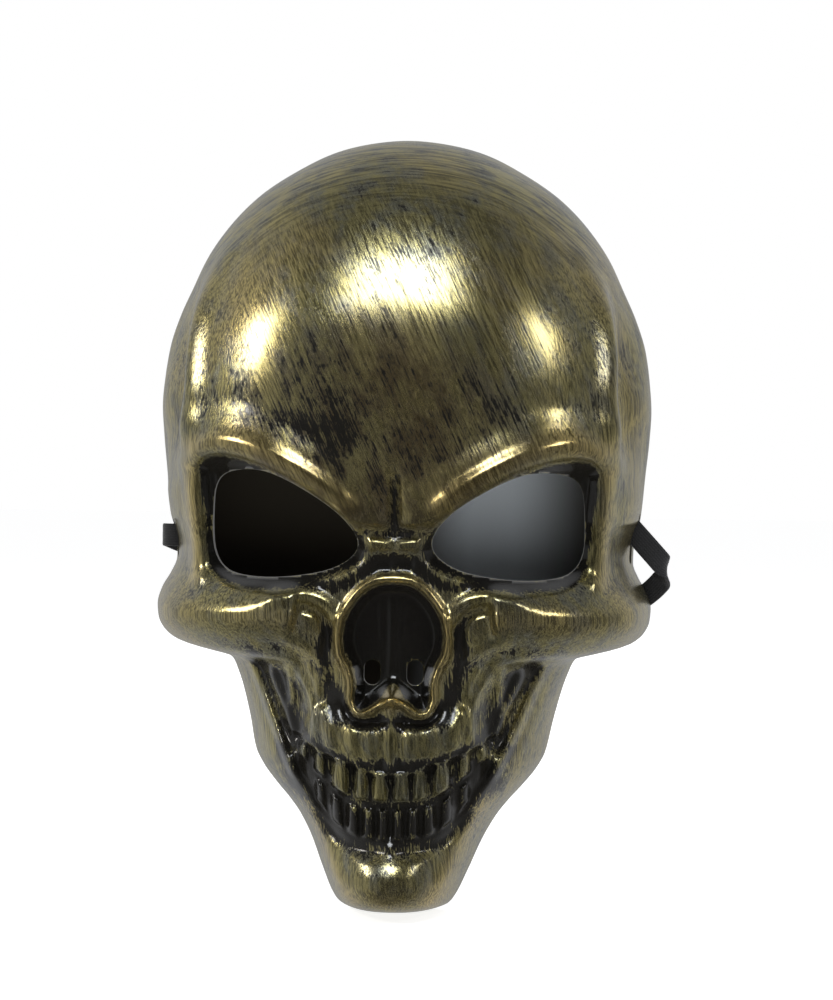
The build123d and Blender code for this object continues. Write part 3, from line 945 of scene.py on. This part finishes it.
@dataclass
class ElasticBand:
    """The flat elastic: a slack band behind the head and a sewn loop through each slot."""

    width: float = 8.0
    thick: float = 1.0

    def centre_line(self, route: Sequence[tuple[float, float, float]]) -> Field:
        """Points along the smooth line that a route controls, in metres."""
        data = bpy.data.curves.new("route", "CURVE")
        data.dimensions = "3D"
        data.resolution_u = 10
        spline = data.splines.new("NURBS")
        spline.points.add(len(route) - 1)
        for point, place in zip(spline.points, route):
            point.co = (*place, 1.0)
        spline.order_u = 3
        spline.use_endpoint_u = True
        holder = bpy.data.objects.new("route", data)
        bpy.context.collection.objects.link(holder)
        bpy.context.view_layer.update()
        mesh = bpy.data.meshes.new_from_object(holder)
        line = np.array([v.co[:] for v in mesh.vertices])
        bpy.data.objects.remove(holder, do_unlink=True)
        bpy.data.curves.remove(data)
        bpy.data.meshes.remove(mesh)
        keep = np.concatenate([[True], np.linalg.norm(np.diff(line, axis=0), axis=1) > 1e-6])
        return line[keep]

    def ribbon(self, name: str, line: Field, across: Field) -> bpy.types.Object:
        """A woven ribbon along a line.

        Args:
            name: the piece's name.
            line: its centre line, in metres.
            across: the direction of its width at each point.

        Returns:
            The ribbon, a closed mesh with a UV map for the weave.
        """
        tangent = np.gradient(line, axis=0)
        tangent /= np.linalg.norm(tangent, axis=1, keepdims=True)
        across = across - (across * tangent).sum(1, keepdims=True) * tangent
        across /= np.linalg.norm(across, axis=1, keepdims=True)
        face = np.cross(tangent, across)
        w, t = self.width / 2 * MM, self.thick / 2 * MM
        shape = [
            (-1.0, -0.35), (-0.94, -0.8), (-0.8, -1.0), (-0.4, -0.92), (0.0, -1.0), (0.4, -0.92),
            (0.8, -1.0), (0.94, -0.8), (1.0, -0.35),
        ]  # fmt: skip
        ring = shape + [(u, -v) for u, v in reversed(shape)]
        verts = np.concatenate([[line + across * u * w + face * v * t] for u, v in ring]).transpose(1, 0, 2)
        count, size = len(line), len(ring)
        faces = []
        for k in range(count - 1):
            for m in range(size):
                a, b = k * size + m, k * size + (m + 1) % size
                faces.append((a, b, b + size, a + size))
        faces += [tuple(range(size - 1, -1, -1)), tuple((count - 1) * size + m for m in range(size))]
        mesh = bpy.data.meshes.new(name)
        mesh.from_pydata(verts.reshape(-1, 3).tolist(), [], faces)
        travel = np.concatenate([[0], np.cumsum(np.linalg.norm(np.diff(line, axis=0), axis=1))])
        uv = mesh.uv_layers.new(name="weave")
        for loop in mesh.loops:
            k, m = divmod(loop.vertex_index, size)
            uv.data[loop.index].uv = (0.5 + 0.5 * ring[m][0], travel[k])
        face_outwards(mesh)
        mesh.polygons.foreach_set("use_smooth", [len(p.vertices) == 4 for p in mesh.polygons])
        piece = bpy.data.objects.new(name, mesh)
        bpy.context.collection.objects.link(piece)
        return piece


@dataclass(frozen=True)
class Fold:
    """One place on a loop's route and which way its width lies there."""

    at: tuple[float, float, float]
    across: tuple[float, float, float]


LEFT_LOOP = (
    Fold((-0.0684, 0.0244, -0.0099), (0, 0.34, 0.94)),
    Fold((-0.0684, 0.0202, -0.0084), (0, 0.34, 0.94)),
    Fold((-0.0705, 0.0145, -0.0062), (0, 0.3, 0.95)),
    Fold((-0.0764, 0.0080, -0.0032), (0, 0.2, 0.98)),
    Fold((-0.0776, 0.0015, -0.0014), (0, 0, 1)),
    Fold((-0.0800, -0.0004, -0.0010), (0, 0, 1)),
    Fold((-0.0852, -0.0003, -0.0010), (0, 0, 1)),
    Fold((-0.0868, 0.0026, -0.0010), (0, 0, 1)),
    Fold((-0.0864, 0.0080, -0.0014), (0, 0.05, 1)),
    Fold((-0.0828, 0.0134, -0.0034), (0, 0.2, 0.98)),
    Fold((-0.0735, 0.0168, -0.0066), (0, 0.34, 0.94)),
    Fold((-0.0697, 0.0202, -0.0084), (0, 0.34, 0.94)),
    Fold((-0.0697, 0.0244, -0.0099), (0, 0.34, 0.94)),
)
RIGHT_LOOP = (
    Fold((0.0763, 0.0224, -0.0278), (0, 0.72, 0.69)),
    Fold((0.0763, 0.0196, -0.0244), (0, 0.72, 0.69)),
    Fold((0.0760, 0.0155, -0.0170), (0.1, 0.8, 0.55)),
    Fold((0.0758, 0.0095, -0.0050), (0.2, 0.85, 0.45)),
    Fold((0.0762, 0.0034, 0.0048), (0.6, 0.5, 0.6)),
    Fold((0.0786, -0.0002, 0.0062), (0.74, 0.1, 0.67)),
    Fold((0.0830, -0.0005, 0.0015), (0.74, 0, 0.67)),
    Fold((0.0880, -0.0005, -0.0040), (0.74, 0, 0.67)),
    Fold((0.0920, -0.0003, -0.0084), (0.74, 0.1, 0.67)),
    Fold((0.0942, 0.0022, -0.0114), (0, 0.74, 0.67)),
    Fold((0.0924, 0.0049, -0.0152), (-0.70, 0.2, 0.67)),
    Fold((0.0882, 0.0078, -0.0196), (-0.66, 0.15, 0.74)),
    Fold((0.0835, 0.0122, -0.0232), (-0.55, 0.35, 0.76)),
    Fold((0.0792, 0.0164, -0.0254), (-0.3, 0.6, 0.74)),
    Fold((0.0777, 0.0196, -0.0254), (0, 0.72, 0.69)),
    Fold((0.0777, 0.0224, -0.0284), (0, 0.72, 0.69)),
)
BAND_ROUTE = (
    (-0.06655, 0.0199, -0.00495), (-0.06655, 0.0199, -0.01735), (-0.0590, 0.0199, -0.0350),
    (-0.0420, 0.0199, -0.0510), (-0.0180, 0.0199, -0.0620), (0.0080, 0.0199, -0.0645),
    (0.0330, 0.0199, -0.0585), (0.0540, 0.0199, -0.0465), (0.07255, 0.0199, -0.03386),
    (0.07455, 0.0199, -0.02096),
)  # fmt: skip


def make_elastic(band: ElasticBand, finish: bpy.types.Material) -> None:
    """Builds the band and both loops, and joins them to the bodies they move with."""
    line = band.centre_line(BAND_ROUTE)
    strap = band.ribbon("elastic_head_band", line, np.tile((0.0, 1.0, 0.0), (len(line), 1)))
    strap.data.materials.append(finish)
    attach(strap, "band")
    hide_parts("elastic_strap")
    loops = (("sewn_loop_left", "loop_left", LEFT_LOOP), ("sewn_loop_right", "loop_right", RIGHT_LOOP))
    for name, node, folds in loops:
        line = band.centre_line([f.at for f in folds])
        steps = np.clip((np.arange(len(folds)) - 0.5) / (len(folds) - 2), 0, 1)
        share = np.linspace(0, 1, len(line))
        across = np.stack([np.interp(share, steps, [f.across[k] for f in folds]) for k in range(3)], axis=1)
        loop = band.ribbon(name, line, across)
        loop.data.materials.append(finish)
        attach(loop, "mask")
        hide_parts(node)
        log.info("%s: built", name)


# ---------------------------------------------------------------- stage


def look_at(thing: bpy.types.Object, target: Vector) -> None:
    """Turns a light or camera to face a place."""
    thing.rotation_euler = (target - thing.location).to_track_quat("-Z", "Y").to_euler()


def make_camera() -> None:
    """A camera in front of the face, a little to the wearer's left."""
    data = bpy.data.cameras.new("camera")
    camera = bpy.data.objects.new("camera", data)
    bpy.context.collection.objects.link(camera)
    data.sensor_fit = "VERTICAL"
    data.sensor_height = SENSOR_HEIGHT
    data.lens = SENSOR_HEIGHT * LENS_PER_HEIGHT
    turn, lift, far = math.radians(CAMERA_TURN), math.radians(CAMERA_LIFT), CAMERA_DISTANCE
    aim = Vector(CAMERA_AIM)
    back = Vector((math.sin(turn) * math.cos(lift), -math.cos(turn) * math.cos(lift), math.sin(lift)))
    camera.location = aim + far * back
    look_at(camera, aim)
    camera.rotation_euler.rotate_axis("Z", math.radians(CAMERA_ROLL))
    data.clip_start, data.clip_end = 0.05, 30.0
    bpy.context.scene.camera = camera


@dataclass(frozen=True)
class Softbox:
    """A soft rectangular light that faces the mask."""

    name: str
    at: tuple[float, float, float]
    size: tuple[float, float]
    power: float
    tint: tuple[float, float, float] = (1.0, 1.0, 1.0)
    mirrored: bool = True

    def make(self) -> None:
        """Adds the light."""
        data = bpy.data.lights.new(self.name, "AREA")
        data.shape = "RECTANGLE"
        data.size, data.size_y = self.size
        data.energy = self.power
        data.color = self.tint
        lamp = bpy.data.objects.new(self.name, data)
        bpy.context.collection.objects.link(lamp)
        lamp.location = self.at
        lamp.visible_glossy = self.mirrored
        look_at(lamp, Vector(LIGHT_AIM))


LIGHTS = (
    Softbox("front_softbox", (-0.03, -0.66, 1.02), (0.52, 0.26), 4.6, (0.93, 0.97, 1.0)),
    Softbox("left_window", (-1.25, -0.30, 0.72), (0.34, 0.36), 4.6, (1.0, 0.96, 0.88)),
    Softbox("right_window", (1.25, -0.35, 0.85), (0.22, 0.30), 1.7, (1.0, 0.97, 0.92)),
    Softbox("rear_fill", (0.5, 1.3, 0.8), (0.9, 0.6), 9.0, mirrored=False),
)


def make_room() -> None:
    """The room's light: dim in front of the mask, pale behind and beside it, and white to the camera."""
    world = bpy.data.worlds.new("room")
    world.use_nodes = True
    tree = world.node_tree
    tree.nodes.clear()

    def add(kind: str, **inputs: object) -> bpy.types.Node:
        """Adds a node, with its inputs given as an underscore and their number."""
        node = tree.nodes.new("ShaderNode" + kind)
        for key, value in inputs.items():
            place = int(key[1:])
            if isinstance(value, Socket):
                tree.links.new(value, node.inputs[place])
            else:
                node.inputs[place].default_value = value
        return node

    def step(value: Socket, low: float, high: float, top: float) -> Socket:
        """A smooth step from 0 to a top between two levels."""
        node = add("MapRange", _0=value, _1=low, _2=high, _3=0.0, _4=top)
        node.interpolation_type = "SMOOTHSTEP"
        return node.outputs[0]

    def total(a: Socket, b: object) -> Socket:
        """The sum of two levels."""
        return add("Math", _0=a, _1=b).outputs[0]

    way = add("SeparateXYZ", _0=add("TexCoord").outputs["Generated"])
    across, along, up = way.outputs[0], way.outputs[1], way.outputs[2]
    light = total(step(along, 0.0, 0.98, 0.36), 0.035)
    light = total(light, step(across, -0.25, -1.0, 0.22))
    light = total(light, step(across, 0.35, 1.0, 0.07))
    light = total(light, step(up, 0.2, 1.0, 0.05))
    seen = add("Background", _0=(1.0, 1.0, 1.0, 1.0), _1=1.0)
    lit = add("Background", _0=(0.97, 0.98, 1.0, 1.0), _1=light)
    to_camera = add("LightPath").outputs["Is Camera Ray"]
    mix = add("MixShader", _0=to_camera, _1=lit.outputs[0], _2=seen.outputs[0])
    tree.links.new(mix.outputs[0], tree.nodes.new("ShaderNodeOutputWorld").inputs[0])
    bpy.context.scene.world = world
    bpy.context.scene.view_settings.view_transform = "Standard"


def make_floor() -> None:
    """The plain pale floor under the chin."""
    low = min(CAD_BOX[0].z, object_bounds()[0].z) - FLOOR_GAP
    bpy.ops.object.select_all(action="DESELECT")
    bpy.ops.mesh.primitive_plane_add(size=FLOOR_SIZE, location=(0, 0, low))
    floor = bpy.context.active_object
    floor.name = "floor"
    floor.visible_glossy = False
    n = Nodes("pale_floor")
    shader = n.add(
        "BsdfPrincipled",
        {"Base Color": (0.8, 0.8, 0.8, 1.0), "Roughness": 0.9, "Specular IOR Level": 0.0,
         "Emission Color": (1.0, 1.0, 1.0, 1.0), "Emission Strength": 0.85},
    )  # fmt: skip
    floor.data.materials.append(n.finish(shader.outputs[0]))


def make_painted_shade_card() -> None:
    """A dull card inside the rim, coloured as painted shade: the openings look into this painted shade, dark
    brown-black with a paler grey-blue patch, and views from behind look through it.
    """
    bpy.ops.object.select_all(action="DESELECT")
    bpy.ops.mesh.primitive_circle_add(vertices=64, radius=1.0, fill_type="NGON", location=(0, 0, 0))
    card = bpy.context.active_object
    card.name = "painted_shade_card"
    half_width, half_height, depth, middle = 0.074, 0.060, -0.004, -0.002
    for v in card.data.vertices:
        wide, tall = (math.copysign(abs(c) ** 0.83, c) for c in v.co[:2])
        v.co = (wide * half_width, depth, middle + tall * half_height)
    card.visible_diffuse = card.visible_glossy = card.visible_shadow = False
    n = Nodes("painted_shade_grey_card")
    place = n.add("SeparateXYZ", {0: n.add("TexCoord").outputs["Object"]})
    # Painted light and shade: a paler grey-blue patch on the +x side, behind that eye opening, over painted
    # dark brown-black shade elsewhere.
    pale = n.times(n.ramp(place.outputs[0], 0.0, 0.026), n.ramp(place.outputs[0], 0.070, 0.036))
    shade = n.mix(pale, (0.06, 0.052, 0.04, 1.0), (0.88, 0.95, 1.0, 1.0))
    front = n.add("BsdfDiffuse", {"Color": shade})
    clear = n.add("BsdfTransparent")
    side = n.add("NewGeometry").outputs["Backfacing"]
    both = n.add("MixShader", {0: side, 1: front.outputs[0], 2: clear.outputs[0]})
    card.data.materials.append(n.finish(both.outputs[0]))


def main() -> None:
    """Builds every piece in order."""
    make_camera()
    make_elastic(ElasticBand(), WovenElastic().make())
    inside_black = PlainPlastic("inside_black_plastic", (0.022, 0.021, 0.020, 1.0), 0.36)
    cut_edge = PlainPlastic("cut_edge", (0.060, 0.052, 0.036, 1.0), 0.30)
    shell = FaceShell().build([AntiqueBrass().make(), inside_black.make(), cut_edge.make()])
    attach(shell, "mask")
    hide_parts("face_shell")
    log.info("skull_face_shell: %d faces", len(shell.data.polygons))
    thread = PlainPlastic("black_thread", (0.03, 0.03, 0.032, 1.0), 0.8).make()
    for node in ("bar_tack_left", "bar_tack_right"):
        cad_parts[node].data.materials.clear()
        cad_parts[node].data.materials.append(thread)
    for light in LIGHTS:
        light.make()
    make_room()
    make_floor()
    make_painted_shade_card()


if __name__ == "__main__":
    main()
